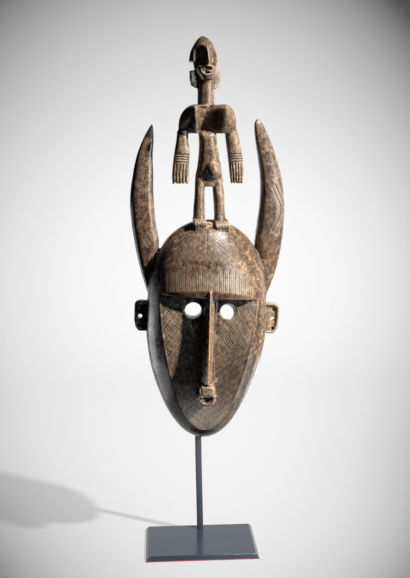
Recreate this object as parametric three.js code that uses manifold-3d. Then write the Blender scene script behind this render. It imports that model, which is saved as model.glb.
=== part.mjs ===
// Ntomo mask: a carved face with horns, pierced ears and a standing figure, on a rod and plate.
// Millimetres, +Z up. The face looks along -Y. The origin is the middle of the stand's underside.
import * as THREE from 'three';
import { mergeVertices } from 'three/addons/utils/BufferGeometryUtils.js';
import Module from 'manifold-3d';

const wasm = await Module();
wasm.setup();

const contactGap = 0.3;

// Stand: a flared plate on a thin lining, and a square rod that bends once inside the mask.
const feltWidth = 172;
const feltDepth = 106;
const feltThickness = 1;
const plateTopWidth = 167;
const plateTopDepth = 101;
const plateFlare = 4.5;
const plateThickness = 6;
const plateCorner = 1.5;
const rodSide = 10;
const rodFootY = 41;
// Height above the plate's top, and the middle of the rod there.
const rodStations = [
  { z: 0, x: 1, y: rodFootY },
  { z: 165, x: -2, y: 42 },
  { z: 235, x: -1, y: 40 },
  { z: 300, x: 13, y: 27 },
  { z: 400, x: 15, y: 17 },
  { z: 492, x: 12, y: 12 },
];

// Where the mask sits, and how it leans: its own heights start at the chin.
const chinAt = new THREE.Vector3(2, 0, 182);
const maskTurn = THREE.MathUtils.degToRad(0.5);
const maskLean = THREE.MathUtils.degToRad(2.05);

// Face: an egg outline with a bulging front and straight sides that run back to the open rim.
const faceHalfWidth = 91.5;
const widestHeight = 168;
const crownRise = 172;
const frontBulge = 62;
const rimBack = 52;
const chinRimBack = 26;
const wall = 13;
const crownWall = 15;
const chinWall = 18;
const innerBulgeCheek = 20;
const innerBulgeForehead = 44;

// Cut-back panel below the brow, slightly hollow towards the nose.
const browHeight = 228;
const panelFoot = 22;
const panelHalfWidth = 72.5;
const panelDepth = 37;
const panelHollow = 6;
const browSlope = 0.61;
const eyes = [
  { x: -22.7, z: 208, halfWidth: 13.2, halfHeight: 11.9, sideways: 0, down: 0 },
  { x: 29.8, z: 207, halfWidth: 12.9, halfHeight: 12.2, sideways: -0.18, down: 0.3 },
];

// Nose: a long blade with a narrow flat ridge and wings at its foot.
const noseTop = 247;
const noseTip = 105;
const noseRidgeHalf = 2;
const noseBaseHalf = 12;
const noseWingHalf = 10.6;
const noseWingHeight = 20;
const noseRoot = -25;
const noseRidgeAtBrow = -57.5;
const noseRidgeAtTip = -75;

// Mouth: an upper block with a thin lip edge over a bowl-shaped lower lip.
const mouthX = -0.4;
const upperLip = { z: 95.5, halfWidth: 12.4, halfHeight: 9, front: -67 };
const lipEdge = { z: 87.2, halfWidth: 15, halfHeight: 1.7, front: -67.5 };
const lowerLip = { z: 80.5, halfWidth: 14, halfHeight: 11, front: -61 };
const mouthSlit = { z: 82.4, halfWidth: 11.6, halfHeight: 3.4, depth: 16 };

// Ears: flat plates with a raised edge and a row of three holes, the middle one right through.
const earHeight = 47;
const earMiddle = 190;
const earFront = 3;
const earThickness = 12;
const earRecess = 4;
const earEdge = 3.2;
const earHole = 3.3;
const earPitDepth = 4.5;
const earHoleSpacing = 15;
const earReach = { left: 110.3, right: 112.4 };

// Horns: middle, width and depth of the section at a few heights above the chin.
const hornSides = 12;
const hornSteps = 16;
const leftHorn = [
  { z: 222, x: -84.5, y: 14, width: 11, depth: 26 },
  { z: 262, x: -91.5, y: 14, width: 23, depth: 32 },
  { z: 300, x: -93.6, y: 13, width: 37, depth: 35 },
  { z: 335, x: -99.6, y: 12, width: 37, depth: 35 },
  { z: 370, x: -102.6, y: 11, width: 35, depth: 33 },
  { z: 404, x: -101.8, y: 10, width: 30.5, depth: 29 },
  { z: 431, x: -99.8, y: 10, width: 24, depth: 23 },
  { z: 454, x: -95.5, y: 10, width: 16.5, depth: 16 },
  { z: 470, x: -92, y: 11, width: 7.5, depth: 8 },
  { z: 477, x: -90.4, y: 11, width: 2, depth: 2 },
];
const rightHorn = [
  { z: 222, x: 84.5, y: 14, width: 12, depth: 26 },
  { z: 262, x: 91, y: 14, width: 26, depth: 32 },
  { z: 300, x: 90.6, y: 13, width: 40, depth: 36 },
  { z: 335, x: 93, y: 12, width: 40.5, depth: 36 },
  { z: 370, x: 93.8, y: 11, width: 37, depth: 34 },
  { z: 404, x: 90.2, y: 10, width: 32, depth: 31 },
  { z: 431, x: 84, y: 10, width: 28, depth: 26 },
  { z: 454, x: 77.5, y: 10, width: 24, depth: 21 },
  { z: 477, x: 70.2, y: 10, width: 16.5, depth: 14 },
  { z: 487, x: 67.4, y: 10, width: 9.5, depth: 8 },
  { z: 491, x: 67, y: 10, width: 3, depth: 3 },
];

// Figure: its own frame stands between the feet, on the crown.
const figureAt = new THREE.Vector3(1.4, -8, 333);
const figureSway = -0.0402;
const figureTurn = THREE.MathUtils.degToRad(4);
const headTurn = THREE.MathUtils.degToRad(6);
const figureHeight = 271;
const shoulderHeight = 176;
const breastHeight = 134;
const breastReach = 29;
const shoulders = { left: { half: 45.4, square: 2.8 }, right: { half: 44.6, square: 5 } };
const ridgeLeft = { low: -14.5, high: -22 };
const ridgeRight = { low: 19.5, high: 25 };
const valley = { low: -8, high: 1 };
const fingerTip = 61.5;
const legs = [
  { ankle: -18.2, ankleHalf: 9.3, hip: -14, hipHalf: 7.4 },
  { ankle: 13.3, ankleHalf: 8.8, hip: 11.8, hipHalf: 8.3 },
];
const feet = [
  { x: -17.8, halfWidth: 9.2, sole: 1.2, toes: -23 },
  { x: 15, halfWidth: 10.6, sole: -3, toes: -25 },
];
const arms = [
  { side: -1, outer: [45, 46.8, 50.2, 53.2, 55.6, 55.9], inner: [28.8, 29.4, 28.2, 29.3, 31, 32] },
  { side: 1, outer: [44.2, 45.6, 48.2, 50.5, 50.6, 49.6], inner: [25.4, 25.6, 27, 28.3, 29.5, 30.6] },
];
const armHeights = [138, 126, 110, 94, 76, fingerTip];
const armMiddles = [2, 0, -2, -3, -3.5, -3.5];
const armHalfDepths = [9.5, 8.5, 7.5, 6, 4.6, 3.4];

// A closed form drawn as sections: place(t, angle, k) puts point k of the section at t in space.
function lofted(sides, steps, place) {
  const geometry = new THREE.CylinderGeometry(1, 1, 1, sides, steps);
  const at = geometry.attributes.position;
  for (let i = 0; i < at.count; i += 1) {
    const t = at.getY(i) + 0.5;
    const angle = Math.atan2(-at.getZ(i), at.getX(i));
    const onRim = Math.hypot(at.getX(i), at.getZ(i)) > 0.5;
    const turn = (angle + Math.PI / 2) / (2 * Math.PI);
    const k = (Math.round(turn * sides) + sides) % sides;
    const p = place(t, angle, k, onRim);
    at.setXYZ(i, p[0], p[1], p[2]);
  }
  return geometry;
}

// A loft whose section is a polygon in a level plane; the end caps meet in the polygon's middle.
function polygonLoft(steps, sectionAt) {
  const sides = sectionAt(0).length;
  return lofted(sides, steps, (t, angle, k, onRim) => {
    const section = sectionAt(t);
    if (onRim) {
      return section[k];
    }
    return [0, 1, 2].map((axis) => section.reduce((sum, p) => sum + p[axis], 0) / sides);
  });
}

function solid(geometry) {
  geometry.deleteAttribute('normal');
  geometry.deleteAttribute('uv');
  const merged = mergeVertices(geometry, 1e-4);
  const mesh = new wasm.Mesh({
    numProp: 3,
    vertProperties: new Float32Array(merged.attributes.position.array),
    triVerts: new Uint32Array(merged.index.array),
  });
  return new wasm.Manifold(mesh);
}

function geometryOf(manifold) {
  const mesh = manifold.getMesh();
  const geometry = new THREE.BufferGeometry();
  geometry.setAttribute('position', new THREE.BufferAttribute(mesh.vertProperties, 3));
  geometry.setIndex(new THREE.BufferAttribute(mesh.triVerts, 1));
  geometry.computeVertexNormals();
  return geometry;
}

function power(value, exponent) {
  return Math.sign(value) * Math.abs(value) ** exponent;
}

function smooth(value, from, to) {
  return THREE.MathUtils.smoothstep(value, from, to);
}

// The value of a named measure at height z, on a smooth line through the stations.
function along(stations, measure, z) {
  const last = stations.length - 1;
  let i = 0;
  while (i < last - 1 && z > stations[i + 1].z) {
    i += 1;
  }
  const a = stations[i];
  const b = stations[i + 1];
  const before = stations[Math.max(i - 1, 0)];
  const after = stations[Math.min(i + 2, last)];
  const span = b.z - a.z;
  const u = THREE.MathUtils.clamp((z - a.z) / span, 0, 1);
  const slopeA = ((b[measure] - before[measure]) / (b.z - before.z)) * span;
  const slopeB = ((after[measure] - a[measure]) / (after.z - a.z)) * span;
  const h = u * u * (3 - 2 * u);
  const left = u * (1 - u) * (1 - u) * slopeA;
  const right = u * u * (u - 1) * slopeB;
  return a[measure] * (1 - h) + b[measure] * h + left + right;
}

// Egg outline of the face around its widest point, for a shell thinner by the given walls.
function eggOutline(angle, side, crown, chin) {
  const c = Math.cos(angle);
  const s = Math.sin(angle);
  if (s >= 0) {
    return [(faceHalfWidth - side) * c, (crownRise - crown) * power(s, 0.606)];
  }
  return [(faceHalfWidth - side) * c, (widestHeight - chin) * power(s, 1.333)];
}

function rimDepth(height) {
  return THREE.MathUtils.lerp(chinRimBack, rimBack, smooth(height, 0, 110));
}

// The egg's rings run from the back rim forward to the widest plane, then over the bulge.
function faceForm(sides, domeRings, thinner, bulgeAt, backExtra) {
  const sideRings = 3;
  const steps = sideRings + domeRings;
  return lofted(sides, steps, (t, angle, k, onRim) => {
    const ring = Math.round(t * steps);
    const [x, rise] = eggOutline(angle, thinner.side, thinner.crown, thinner.chin);
    if (ring <= sideRings) {
      const height = widestHeight + (onRim ? rise : 0);
      const toWidest = ring / sideRings;
      const spread = onRim ? 1 - 0.035 * (1 - toWidest) ** 2 : 0;
      const back = rimDepth(height) + backExtra;
      return [x * spread, back * (1 - toWidest), widestHeight + rise * spread];
    }
    const arc = ((ring - sideRings) / domeRings) * THREE.MathUtils.degToRad(83);
    const spread = onRim ? Math.cos(arc) : 0;
    const height = widestHeight + rise * spread;
    return [x * spread, -bulgeAt(height) * Math.sin(arc), height];
  });
}

function panelHalfAt(height) {
  const down = (browHeight - height) / (browHeight - panelFoot + 2);
  return panelHalfWidth * Math.sqrt(1 - down ** 1.45);
}

// The tool that clears the panel: its back is the panel's surface, its top the brow's underside.
function panelCutter() {
  const across = 8;
  const inFront = -95;
  const steps = 13;
  return polygonLoft(steps, (t) => {
    const height = THREE.MathUtils.lerp(panelFoot, browHeight, t);
    const half = panelHalfAt(height);
    const tilt = t > 1 - 0.5 / steps ? browSlope : 0;
    const point = (x, y) => [x, y, height - tilt * (y + panelDepth)];
    const section = [point(-half, inFront), point(half, inFront)];
    for (let i = 0; i <= across; i += 1) {
      const share = 1 - (2 * i) / across;
      section.push(point(half * share, panelHollow * (1 - share * share) - panelDepth));
    }
    return section;
  });
}

function eyeCutter(eye) {
  const length = 60;
  const geometry = new THREE.CylinderGeometry(1, 1, 1, 20, 1);
  const at = geometry.attributes.position;
  for (let i = 0; i < at.count; i += 1) {
    const back = at.getY(i) * length;
    const x = eye.x + at.getX(i) * eye.halfWidth + back * eye.sideways;
    const z = eye.z + at.getZ(i) * eye.halfHeight - back * eye.down;
    at.setXYZ(i, x, back - panelDepth + 2, z);
  }
  return geometry;
}

function noseForm() {
  return polygonLoft(11, (t) => {
    const height = THREE.MathUtils.lerp(noseTip, noseTop, t);
    const down = (browHeight - height) / (browHeight - noseTip);
    const ridge = noseRidgeAtBrow + (noseRidgeAtTip - noseRidgeAtBrow) * down + 2.5 * Math.max(-down, 0);
    const wing = 1 - smooth(height, noseTip + noseWingHeight * 0.4, noseTip + noseWingHeight * 1.7);
    const cheek = THREE.MathUtils.lerp(noseRidgeHalf + 3.2, noseWingHalf, wing);
    const tuck = 3 * wing;
    return [
      [-noseRidgeHalf, ridge, height],
      [noseRidgeHalf, ridge, height],
      [cheek, ridge + 14 - tuck, height + wing],
      [noseBaseHalf, -33, height + 2 * wing],
      [noseBaseHalf, noseRoot, height + 3 * wing],
      [-noseBaseHalf, noseRoot, height + 3 * wing],
      [-noseBaseHalf, -33, height + 2 * wing],
      [-cheek, ridge + 14 - tuck, height + wing],
    ];
  });
}

// A block with rounded corners that comes forward from the panel and rounds off in front.
function lipForm(lip, corner, sides) {
  const profile = [[0, 1], [0.72, 1], [0.9, 0.93], [1, 0.72]];
  const root = -26;
  return lofted(sides, profile.length - 1, (t, angle, k, onRim) => {
    const [share, full] = profile[Math.round(t * (profile.length - 1))];
    const size = onRim ? full : 0;
    const x = mouthX + lip.halfWidth * size * power(Math.cos(angle), corner);
    const z = lip.z + lip.halfHeight * size * power(Math.sin(angle), corner);
    return [x, THREE.MathUtils.lerp(root, lip.front, share), z];
  });
}

function slitCutter() {
  const geometry = new THREE.SphereGeometry(1, 14, 8);
  geometry.scale(mouthSlit.halfWidth, mouthSlit.depth, mouthSlit.halfHeight);
  geometry.translate(mouthX, lowerLip.front, mouthSlit.z);
  return geometry;
}

function earShape(reach, inner, inset) {
  const shape = new THREE.Shape();
  const half = earHeight / 2 - inset;
  const outer = reach - inset;
  const round = 7;
  shape.moveTo(inner, -half);
  shape.lineTo(outer - round, -half);
  shape.lineTo(outer - round * 0.3, -half + round * 0.9);
  shape.lineTo(outer, -half + round * 2.4);
  shape.lineTo(outer, half - round);
  shape.lineTo(outer - round * 0.3, half - round * 0.3);
  shape.lineTo(outer - round, half);
  shape.lineTo(inner, half);
  return shape;
}

// Flat shapes are drawn sideways and up, then stood upright facing the front.
function upright(shape, front, thickness) {
  const geometry = new THREE.ExtrudeGeometry(shape, { depth: thickness, bevelEnabled: false, steps: 1 });
  geometry.rotateX(Math.PI / 2);
  geometry.translate(0, front + thickness, 0);
  return geometry;
}

function drill(x, z, from, to, radius) {
  const geometry = new THREE.CylinderGeometry(radius, radius, to - from, 10, 1);
  geometry.translate(x, (from + to) / 2, z);
  return geometry;
}

function ear(side, reach) {
  const root = 84;
  const recessFrom = 60;
  let body = solid(upright(earShape(reach, root, 0), earFront, earThickness));
  body = body.subtract(solid(upright(earShape(reach, recessFrom, earEdge), earFront - 1, earRecess + 1)));
  const floor = earFront + earRecess;
  const holeX = reach - 9;
  body = body.subtract(solid(drill(holeX, -1, floor - 2, earFront + earThickness + 2, earHole)));
  [-1, 1].forEach((way) => {
    const z = -1 + way * earHoleSpacing;
    body = body.subtract(solid(drill(holeX + 0.8, z, floor - 2, floor + earPitDepth, earHole * 0.8)));
  });
  const turned = side < 0 ? body.mirror([1, 0, 0]) : body;
  return turned.translate([0, 0, earMiddle]);
}

// A horn's section is a soft lozenge with one ridge towards the front and the face.
function hornForm(stations, side) {
  const low = stations[0].z;
  const high = stations[stations.length - 1].z;
  return lofted(hornSides, hornSteps, (t, angle, k, onRim) => {
    const z = THREE.MathUtils.lerp(low, high, t ** 0.86);
    const c = Math.cos(angle);
    const s = Math.sin(angle);
    const ridge = Math.max(0, Math.cos(angle + Math.PI / 2 + side * 0.55)) ** 6;
    const reach = onRim ? 1 + 0.09 * ridge : 0;
    const x = along(stations, 'x', z) + (along(stations, 'width', z) / 2) * c * reach;
    const y = along(stations, 'y', z) + (along(stations, 'depth', z) / 2) * s * reach;
    return [x, y, z];
  });
}

// Round-cornered upright limb through stations of middle, half width and half depth.
function limb(stations, sides, steps, corner) {
  const low = stations[0].z;
  const high = stations[stations.length - 1].z;
  return lofted(sides, steps, (t, angle, k, onRim) => {
    const z = THREE.MathUtils.lerp(low, high, t);
    const size = onRim ? 1 : 0;
    const x = along(stations, 'x', z) + along(stations, 'half', z) * size * power(Math.cos(angle), corner);
    const y = along(stations, 'y', z) + along(stations, 'depth', z) * size * power(Math.sin(angle), corner);
    return [x, y, z];
  });
}

function legForm(leg) {
  const stations = [
    { z: 2, x: leg.ankle, half: leg.ankleHalf, y: 0, depth: 9 },
    { z: 22, x: leg.ankle * 0.97, half: leg.ankleHalf - 0.8, y: -1, depth: 8.5 },
    { z: 44, x: (leg.ankle + leg.hip) / 2, half: leg.hipHalf, y: -1.5, depth: 9 },
    { z: 68, x: leg.hip, half: leg.hipHalf, y: 0, depth: 9.5 },
  ];
  return limb(stations, 10, 5, 0.85);
}

// Foot: high at the ankle, low at the toes, on a riser that stops short of them.
function footParts(foot) {
  const heel = 9;
  const top = [[heel, 11.5], [0, 12.5], [-8, 12], [foot.toes + 2, 7.2], [foot.toes, 5.2]];
  const body = lofted(8, top.length - 1, (t, angle, k, onRim) => {
    const [y, height] = top[Math.round(t * (top.length - 1))];
    const size = onRim ? 1 : 0;
    const z = foot.sole + height / 2 + (height / 2) * size * power(Math.sin(angle), 0.5);
    return [foot.x + foot.halfWidth * size * power(Math.cos(angle), 0.5), y, z];
  });
  const riserLow = -9.5;
  const riserFront = foot.toes + 9.5;
  const riserBack = 5;
  const riserHeight = foot.sole + 2 - riserLow;
  const riser = new THREE.BoxGeometry(foot.halfWidth * 1.85, riserBack - riserFront, riserHeight);
  riser.translate(foot.x + 1, (riserBack + riserFront) / 2, riserLow + riserHeight / 2);
  return { body, riser };
}

function toeCutters(foot) {
  const cutters = [];
  for (let i = 1; i < 5; i += 1) {
    const x = foot.x - foot.halfWidth + (2 * foot.halfWidth * i) / 5;
    const over = new THREE.CylinderGeometry(1.2, 1.2, 17, 4, 1);
    over.rotateX(0.42);
    over.translate(x, foot.toes + 7, foot.sole + 9.2);
    const down = new THREE.CylinderGeometry(1.2, 1.2, 10, 4, 1);
    down.rotateX(Math.PI / 2);
    down.translate(x, foot.toes, foot.sole + 3);
    cutters.push(over, down);
  }
  return cutters;
}

function torsoForm() {
  const stations = [
    { z: 57, x: -1.2, half: 17, y: 0, depth: 9 },
    { z: 70, x: -0.9, half: 20, y: 0.5, depth: 11.5 },
    { z: 86, x: 0, half: 17.6, y: 0, depth: 11.5 },
    { z: 101, x: -0.2, half: 15.2, y: 0, depth: 10.5 },
    { z: 124, x: -1.1, half: 12.7, y: 0, depth: 9.5 },
    { z: 150, x: -0.8, half: 13.5, y: 1, depth: 10 },
    { z: 174, x: -0.8, half: 13, y: 2, depth: 9 },
  ];
  return limb(stations, 12, 9, 0.85);
}

function bellyForm() {
  const belly = new THREE.SphereGeometry(1, 12, 8);
  belly.scale(10.6, 13, 12);
  belly.rotateX(0.35);
  belly.translate(3.6, -9.5, 84.5);
  return belly;
}

function shoulderAt(shoulder, height) {
  const up = (height - breastHeight) / (shoulderHeight + 1.5 - breastHeight);
  return shoulder.half * (1 - up ** shoulder.square) ** (1 / shoulder.square);
}

// Shoulders and breasts as one form: two forward ridges with a slanting valley, flat below.
function bustForm() {
  const mix = THREE.MathUtils.lerp;
  return polygonLoft(8, (t) => {
    const height = mix(breastHeight, shoulderHeight, 1 - (1 - t) ** 1.5);
    const left = -shoulderAt(shoulders.left, height) * mix(1, 0.94, t * t);
    const right = shoulderAt(shoulders.right, height) * mix(1, 0.94, t * t);
    const reach = 4 + breastReach * (1 - t ** 1.6);
    const leftRidge = Math.max(mix(ridgeLeft.low, ridgeLeft.high, t), 0.8 * left);
    const rightRidge = Math.min(mix(ridgeRight.low, ridgeRight.high, t), 0.85 * right);
    const middle = mix(valley.low, valley.high, t);
    const front = [
      [left, 0.05],
      [mix(left, leftRidge, 0.2), -0.42],
      [mix(left, leftRidge, 0.6), -0.82],
      [leftRidge, -1],
      [mix(leftRidge, middle, 0.5), -0.72],
      [middle, -0.36],
      [mix(middle, rightRidge, 0.5), -0.66],
      [rightRidge, -1],
      [mix(rightRidge, right, 0.4), -0.82],
      [mix(rightRidge, right, 0.8), -0.42],
      [right, 0.05],
    ];
    const back = [[right * 0.78, 9, height], [0, 12, height], [left * 0.78, 9, height]];
    return [...front.map(([x, share]) => [x, share * reach, height]), ...back];
  });
}

function armStations(arm) {
  return armHeights
    .map((z, i) => ({
      z,
      x: (arm.side * (arm.outer[i] + arm.inner[i])) / 2,
      half: (arm.outer[i] - arm.inner[i]) / 2,
      y: armMiddles[i],
      depth: armHalfDepths[i],
    }))
    .reverse();
}

// Fingers: a groove down the back of the hand that ends in an open gap at the tips.
function fingerCutters(arm) {
  const inner = arm.inner[arm.inner.length - 1];
  const outer = arm.outer[arm.outer.length - 1];
  const cutters = [];
  for (let i = 1; i < 5; i += 1) {
    const x = arm.side * THREE.MathUtils.lerp(inner, outer, i / 5);
    const groove = new THREE.CylinderGeometry(1.2, 1.2, 28, 4, 1);
    groove.rotateX(Math.PI / 2);
    groove.translate(x, armMiddles[5] - armHalfDepths[5] - 0.6, fingerTip + 16);
    cutters.push(groove);
    const notch = new THREE.CylinderGeometry(1.25, 1.25, 20, 3, 1);
    notch.scale(0.9, 1, 5);
    notch.translate(x, armMiddles[5], fingerTip + 1.2);
    cutters.push(notch);
  }
  return cutters;
}

function neckForm() {
  const stations = [
    { z: 168, x: -0.9, half: 12.4, y: 1, depth: 11 },
    { z: 192, x: -0.4, half: 12, y: 0, depth: 11 },
    { z: 218, x: -0.2, half: 12.2, y: 0, depth: 11.5 },
  ];
  return limb(stations, 10, 2, 1);
}

// Helmet-like hair that comes to a point and hangs over the sides at the back.
function hairForm() {
  const stations = [
    { z: 235, x: -1.6, half: 21, y: 3, depth: 19 },
    { z: 243, x: -1.6, half: 20, y: 2, depth: 20.5 },
    { z: 252, x: -1.6, half: 17.3, y: 1, depth: 18.5 },
    { z: 262, x: -1.2, half: 11.8, y: 0.5, depth: 13.5 },
    { z: 268, x: -1.6, half: 6.4, y: 0, depth: 7.5 },
    { z: figureHeight, x: -1.8, half: 1.6, y: 0, depth: 2 },
  ];
  return limb(stations, 14, 8, 1);
}

function skullForm() {
  const stations = [
    { z: 210, x: 0, half: 8, y: -7, depth: 9 },
    { z: 218, x: -0.4, half: 13.4, y: -5, depth: 14 },
    { z: 228, x: -0.8, half: 16.2, y: -3, depth: 17 },
    { z: 240, x: -0.8, half: 16.6, y: -3, depth: 17.5 },
    { z: 254, x: -1.2, half: 13, y: -3, depth: 16 },
    { z: 264, x: -1.4, half: 7, y: -2, depth: 9 },
  ];
  return limb(stations, 12, 7, 0.9);
}

// The face is scooped out inside a rim, and the nose and lips stand in the scoop.
function faceHollow() {
  const hollow = new THREE.SphereGeometry(1, 16, 12);
  hollow.rotateX(Math.PI / 2);
  hollow.scale(16.5, 9.5, 27);
  hollow.translate(-0.2, -17, 238);
  return hollow;
}

function smallNose() {
  return polygonLoft(2, (t) => {
    const z = THREE.MathUtils.lerp(234, 262, t);
    const ridge = THREE.MathUtils.lerp(-24.5, -14, t ** 1.2);
    const half = THREE.MathUtils.lerp(4.4, 1.8, t);
    return [[-0.8, ridge, z], [0.8, ridge, z], [half, -7, z], [-half, -7, z]];
  });
}

function smallLip(z) {
  const lip = new THREE.SphereGeometry(1, 12, 6);
  lip.scale(9, 12, 4.2);
  lip.translate(0, -9.5, z);
  return lip;
}

// Side locks that stand out from the neck under the hair.
function lockForm(side) {
  const shape = new THREE.Shape();
  shape.moveTo(7, 196.5);
  shape.lineTo(16, 198);
  shape.lineTo(20.5, 202);
  shape.lineTo(22.3, 211);
  shape.lineTo(22, 223);
  shape.lineTo(7, 223.5);
  const lock = solid(upright(shape, -1, 9));
  return side < 0 ? lock.mirror([1, 0, 0]) : lock;
}

function joined(parts) {
  return parts.reduce((sum, part) => sum.add(part));
}

function turnedAboutZ(manifold, angle) {
  return manifold.rotate([0, 0, THREE.MathUtils.radToDeg(angle)]);
}

function head() {
  const scooped = joined([solid(hairForm()), solid(skullForm())]).subtract(solid(faceHollow()));
  const lips = [226.6, 218.6].map((z) => solid(smallLip(z)));
  const form = joined([scooped, solid(smallNose()), ...lips, lockForm(-1), lockForm(1)]);
  return turnedAboutZ(form, headTurn);
}

function figure() {
  const parts = [solid(torsoForm()), solid(bellyForm()), solid(bustForm()), solid(neckForm()), head()];
  legs.forEach((leg) => {
    parts.push(solid(legForm(leg)));
  });
  feet.forEach((foot) => {
    const { body, riser } = footParts(foot);
    let whole = solid(body);
    toeCutters(foot).forEach((cutter) => {
      whole = whole.subtract(solid(cutter));
    });
    parts.push(whole, solid(riser));
  });
  arms.forEach((arm) => {
    let whole = solid(limb(armStations(arm), 10, 8, 0.75));
    fingerCutters(arm).forEach((cutter) => {
      whole = whole.subtract(solid(cutter));
    });
    parts.push(whole);
  });
  const turned = turnedAboutZ(joined(parts), figureTurn);
  const swayed = turned.transform([1, 0, 0, 0, 0, 1, 0, 0, figureSway, 0, 1, 0, 0, 0, 0, 1]);
  const level = swayed.rotate([0, -THREE.MathUtils.radToDeg(maskLean), 0]);
  return level.translate([figureAt.x, figureAt.y, figureAt.z]);
}

function faceShell() {
  const outer = faceForm(56, 9, { side: 0, crown: 0, chin: 0 }, () => frontBulge, 0);
  const innerBulge = (height) => {
    const forehead = smooth(height, browHeight - 10, browHeight + 30);
    return THREE.MathUtils.lerp(innerBulgeCheek, innerBulgeForehead, forehead);
  };
  const inner = faceForm(36, 6, { side: wall, crown: crownWall, chin: chinWall }, innerBulge, 2);
  return solid(outer).subtract(solid(inner)).subtract(solid(panelCutter()));
}

function mask() {
  let form = joined([
    faceShell(),
    solid(noseForm()),
    solid(lipForm(upperLip, 0.6, 12)),
    solid(lipForm(lipEdge, 0.7, 12)),
    solid(lipForm(lowerLip, 0.9, 14)),
    solid(hornForm(leftHorn, -1)),
    solid(hornForm(rightHorn, 1)),
    ear(-1, earReach.left),
    ear(1, earReach.right),
    figure(),
  ]);
  form = form.subtract(solid(slitCutter()));
  eyes.forEach((eye) => {
    form = form.subtract(solid(eyeCutter(eye)));
  });
  const mesh = new THREE.Mesh(geometryOf(form), new THREE.MeshStandardMaterial({
    color: 0x4a382b,
    roughness: 0.42,
    metalness: 0,
  }));
  mesh.name = 'mask';
  mesh.position.copy(chinAt);
  mesh.rotation.set(0, maskLean, maskTurn, 'ZYX');
  return mesh;
}

function plateOutline(width, depth) {
  const half = [width / 2, depth / 2];
  const c = plateCorner;
  const corners = [[-1, -1], [1, -1], [1, 1], [-1, 1]];
  return corners.flatMap(([sx, sy]) => {
    const alongX = [sx * (half[0] - c), sy * half[1]];
    const alongY = [sx * half[0], sy * (half[1] - c)];
    return sx * sy > 0 ? [alongY, alongX] : [alongX, alongY];
  });
}

function metal(color, roughness) {
  return new THREE.MeshStandardMaterial({ color, roughness, metalness: 0.6 });
}

function basePlate() {
  const bottom = feltThickness + contactGap;
  const top = feltThickness + contactGap + plateThickness;
  const geometry = polygonLoft(1, (t) => {
    const grow = 2 * plateFlare * (1 - t);
    const z = THREE.MathUtils.lerp(bottom, top, t);
    return plateOutline(plateTopWidth + grow, plateTopDepth + grow).map(([x, y]) => [x, y, z]);
  });
  const mesh = new THREE.Mesh(geometry, metal(0x3a3f45, 0.35));
  mesh.name = 'stand_base_plate';
  return mesh;
}

function rod() {
  const foot = feltThickness + 2 * contactGap + plateThickness;
  const half = rodSide / 2;
  const corners = [[-half, -half], [half, -half], [half, half], [-half, half]];
  const top = rodStations[rodStations.length - 1].z;
  const geometry = polygonLoft(16, (t) => {
    const z = top * t;
    const x = along(rodStations, 'x', z);
    const y = along(rodStations, 'y', z);
    return corners.map(([dx, dy]) => [x + dx, y + dy, foot + z]);
  });
  const mesh = new THREE.Mesh(geometry, metal(0x2e3236, 0.4));
  mesh.name = 'stand_rod';
  return mesh;
}

function felt() {
  const geometry = new THREE.BoxGeometry(feltWidth, feltDepth, feltThickness);
  const cloth = new THREE.MeshStandardMaterial({ color: 0x4f2226, roughness: 0.95 });
  const mesh = new THREE.Mesh(geometry, cloth);
  mesh.name = 'stand_felt';
  mesh.position.z = feltThickness / 2;
  return mesh;
}

const ntomo = new THREE.Group();
ntomo.add(mask(), basePlate(), rod(), felt());

export default ntomo;
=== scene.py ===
import math

import bpy
import numpy as np
from mathutils import Matrix, Vector


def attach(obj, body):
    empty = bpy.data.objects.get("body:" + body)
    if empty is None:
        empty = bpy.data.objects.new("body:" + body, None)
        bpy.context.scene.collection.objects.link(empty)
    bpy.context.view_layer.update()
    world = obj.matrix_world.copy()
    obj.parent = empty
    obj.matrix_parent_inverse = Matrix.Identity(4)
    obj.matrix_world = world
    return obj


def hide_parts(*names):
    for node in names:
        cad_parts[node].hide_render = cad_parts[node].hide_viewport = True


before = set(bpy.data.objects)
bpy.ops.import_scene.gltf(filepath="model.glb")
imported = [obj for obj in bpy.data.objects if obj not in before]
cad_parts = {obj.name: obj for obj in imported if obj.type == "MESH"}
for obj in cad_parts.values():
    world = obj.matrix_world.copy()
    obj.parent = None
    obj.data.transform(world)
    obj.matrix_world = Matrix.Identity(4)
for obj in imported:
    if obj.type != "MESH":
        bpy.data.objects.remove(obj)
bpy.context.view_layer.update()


# Lengths are in millimetres until a piece is placed.
def selectOnly(*pieces):
    bpy.ops.object.select_all(action="DESELECT")
    for piece in pieces:
        piece.select_set(True)
    bpy.context.view_layer.objects.active = pieces[0]


def readVectors(source, name):
    values = np.empty(len(source) * 3, np.float32)
    source.foreach_get(name, values)
    return values.reshape(-1, 3).astype(float)


def readPoints(piece):
    return readVectors(piece.data.vertices, "co")


def writePoints(piece, points):
    piece.data.vertices.foreach_set("co", np.asarray(points, np.float32).ravel())
    piece.data.update()


def applyModifier(piece, kind, **options):
    modifier = piece.modifiers.new(kind.title(), kind)
    for name, value in options.items():
        setattr(modifier, name, value)
    selectOnly(piece)
    bpy.ops.object.modifier_apply(modifier=modifier.name)


def combine(piece, operation, others):
    for other in others:
        applyModifier(piece, "BOOLEAN", operation=operation, solver="MANIFOLD", object=other)
        bpy.data.objects.remove(other)
    return piece


def cut(piece, *tools):
    return combine(piece, "DIFFERENCE", tools)


def fuse(piece, *others):
    return combine(piece, "UNION", others)


def normalsOut(piece):
    selectOnly(piece)
    bpy.ops.object.mode_set(mode="EDIT")
    bpy.ops.mesh.select_all(action="SELECT")
    bpy.ops.mesh.normals_make_consistent(inside=False)
    bpy.ops.object.mode_set(mode="OBJECT")
    return piece


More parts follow.
